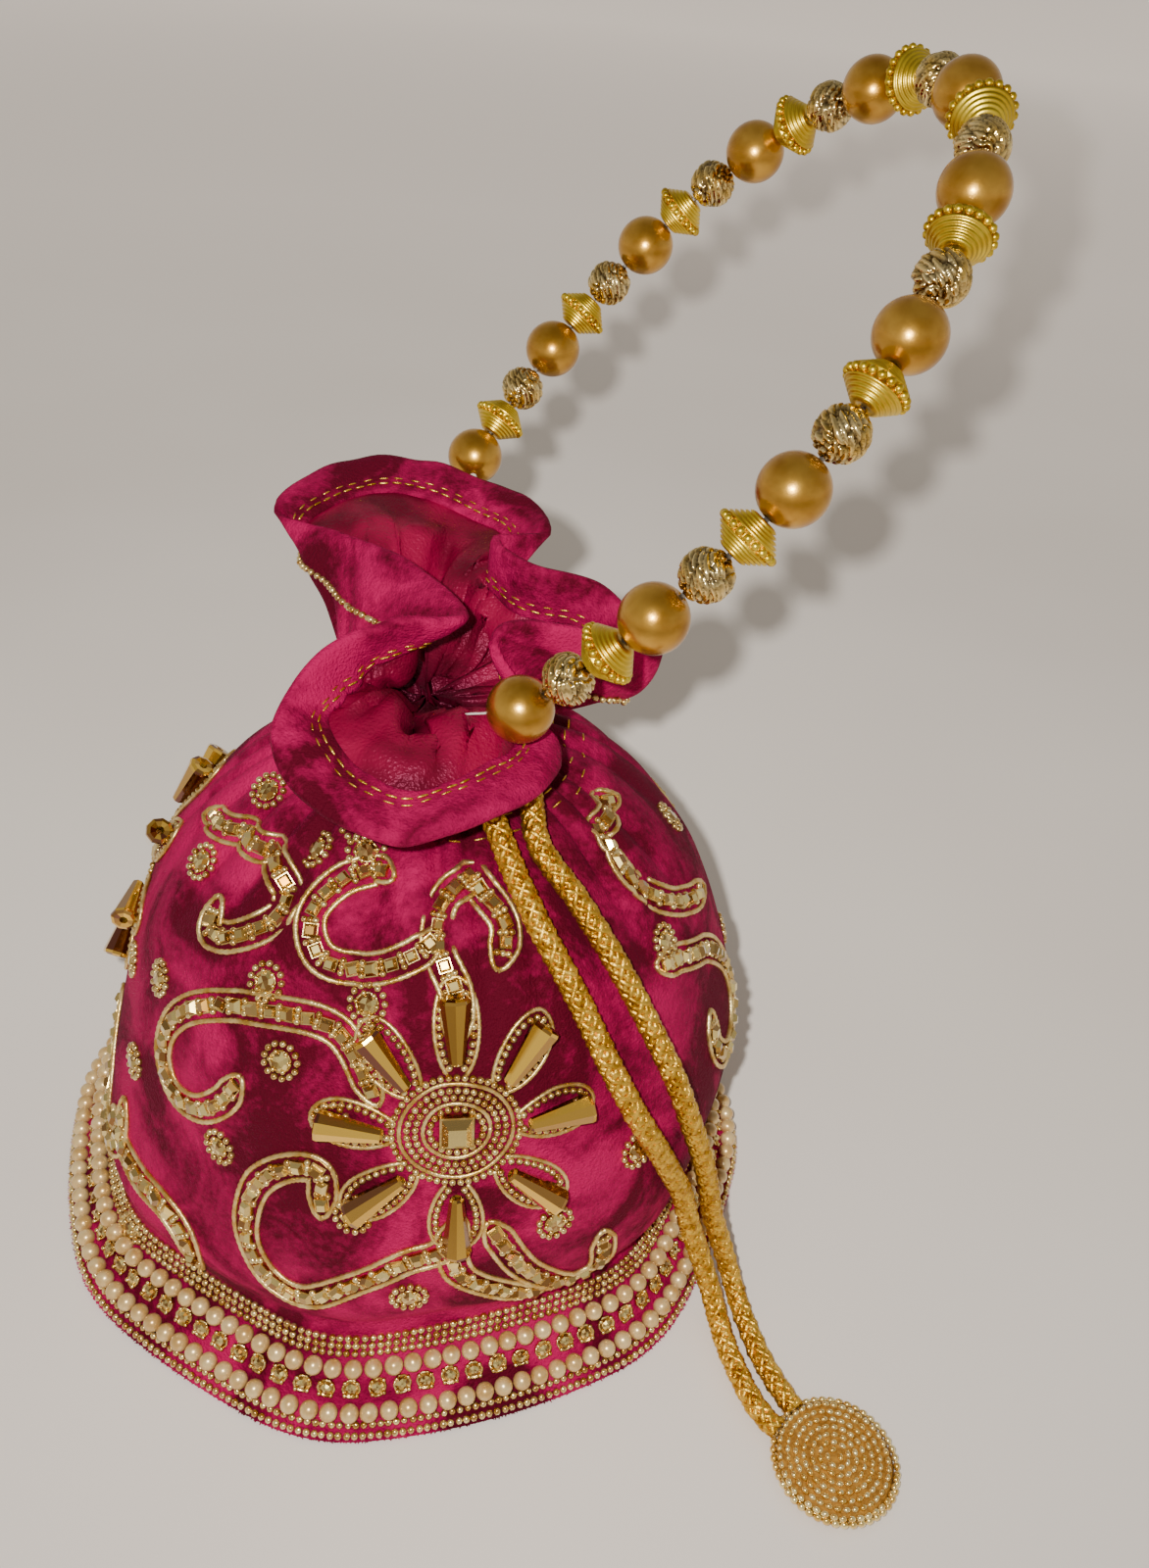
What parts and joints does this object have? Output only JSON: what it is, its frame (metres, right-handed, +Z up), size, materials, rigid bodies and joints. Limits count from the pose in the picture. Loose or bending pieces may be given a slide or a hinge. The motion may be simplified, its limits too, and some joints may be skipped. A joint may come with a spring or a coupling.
{
  "type": "potli bag",
  "caption": "Round velvet drawstring pouch on a stiff base, with a ruffled mouth, a leaning handle of strung beads, raised gold embroidery and a corded tassel.",
  "frame": {"origin": "centre of the base's underside, on the surface that the pouch stands on", "axes": "+Z up, -Y towards the front with the large flower, +X to the right of it, the side the handle leans to"},
  "size_m": [0.1919, 0.18, 0.2398],
  "materials": {
    "velvet": "raspberry velvet pile",
    "satin": "satin lining",
    "card": "stiff base board",
    "thread": "white sewing thread",
    "copper_pearl": "satin pearl coating, copper gold",
    "cream_pearl": "cream pearl coating",
    "mirror_gold": "mirror gold plating",
    "yellow_gold": "satin yellow gold plating",
    "steel_wire": "bright beading wire",
    "seed_gold": "silver-lined gold seed beads",
    "stone_gold": "foil-backed cut glass",
    "glass_gold": "foil-backed amber glass",
    "braid_gold": "braided metallic thread"
  },
  "bodies": {
    "bag": {"velvet_shell": "velvet", "base_board": "card", "satin_lining": "satin", "channel_cord": "braid_gold", "seed_rows_lower": "seed_gold", "pearl_row_lower": "cream_pearl", "stone_row": "stone_gold", "pearl_row_upper": "cream_pearl", "seed_rows_upper": "seed_gold", "front_anchor_thread": "thread", "back_anchor_thread": "thread", "cord_tail_left": "braid_gold", "cord_tail_right": "braid_gold", "bead_tassel": "seed_gold", "front_embroidery": "seed_gold", "embroidery_left": "seed_gold", "embroidery_right_upper": "seed_gold", "embroidery_right": "seed_gold", "cone_bead_1": "glass_gold", "cone_bead_2": "glass_gold", "cone_bead_3": "glass_gold", "cone_bead_4": "glass_gold", "cone_bead_5": "glass_gold", "cone_bead_6": "glass_gold", "cone_bead_7": "glass_gold", "cone_bead_8": "glass_gold", "flower_stone": "stone_gold"},
    "handle": {"pearl_bead_01": "copper_pearl", "pearl_bead_02": "copper_pearl", "pearl_bead_03": "copper_pearl", "pearl_bead_04": "copper_pearl", "pearl_bead_05": "copper_pearl", "pearl_bead_06": "copper_pearl", "pearl_bead_07": "copper_pearl", "pearl_bead_08": "copper_pearl", "pearl_bead_09": "copper_pearl", "pearl_bead_10": "copper_pearl", "pearl_bead_11": "copper_pearl", "filigree_bead_01": "mirror_gold", "filigree_bead_02": "mirror_gold", "filigree_bead_03": "mirror_gold", "filigree_bead_04": "mirror_gold", "filigree_bead_05": "mirror_gold", "filigree_bead_06": "mirror_gold", "filigree_bead_07": "mirror_gold", "filigree_bead_08": "mirror_gold", "filigree_bead_09": "mirror_gold", "filigree_bead_10": "mirror_gold", "bicone_bead_01": "yellow_gold", "bicone_bead_02": "yellow_gold", "bicone_bead_03": "yellow_gold", "bicone_bead_04": "yellow_gold", "bicone_bead_05": "yellow_gold", "bicone_bead_06": "yellow_gold", "bicone_bead_07": "yellow_gold", "bicone_bead_08": "yellow_gold", "bicone_bead_09": "yellow_gold", "bicone_bead_10": "yellow_gold", "handle_wire": "steel_wire"}
  },
  "joints": [
    {"name": "handle_swing", "type": "hinge", "parent": "bag", "child": "handle", "pos_m": [0.0215, -0.0255, 0.1405], "axis": [-0.2106, 0.9699, 0.1219], "range_deg": [-125, 78]}
  ]
}
